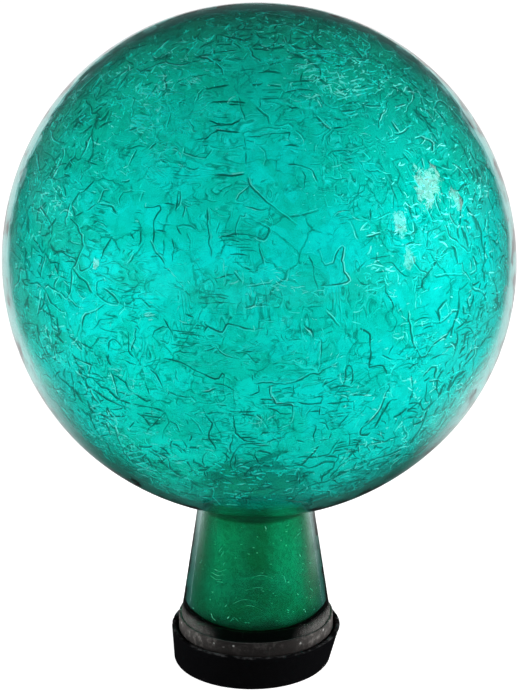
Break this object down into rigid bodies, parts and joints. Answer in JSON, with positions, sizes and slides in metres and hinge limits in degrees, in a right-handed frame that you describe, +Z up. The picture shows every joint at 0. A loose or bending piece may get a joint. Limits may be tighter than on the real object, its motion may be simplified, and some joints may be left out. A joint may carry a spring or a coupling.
{
  "type": "garden gazing ball",
  "caption": "Hand-blown crackled glass garden ball with a clear outer layer, on a short flared neck that stands in a black rubber cap.",
  "frame": {"origin": "on the ground under the ball's centre, on the underside of the rubber cap", "axes": "+Z up through the ball; the pictured side faces -Y; the neck stands 1.8 mm off the ball's axis towards -X"},
  "size_m": [0.254, 0.254, 0.3435],
  "materials": {
    "clear_glass": "smooth, polished",
    "crackled_glass": "crackled, sparkling",
    "ring_rubber": "matte, dusty",
    "cap_rubber": "matte"
  },
  "bodies": {
    "cap": {"rubber_cap": "cap_rubber"},
    "globe": {"clear_casing": "clear_glass", "crackle_lining": "crackled_glass", "neck_ring": "ring_rubber"}
  },
  "joints": [
    {"name": "globe_lift", "type": "slide", "parent": "cap", "child": "globe", "axis": [0, 0, 1], "range_m": [0, 0.03]}
  ]
}
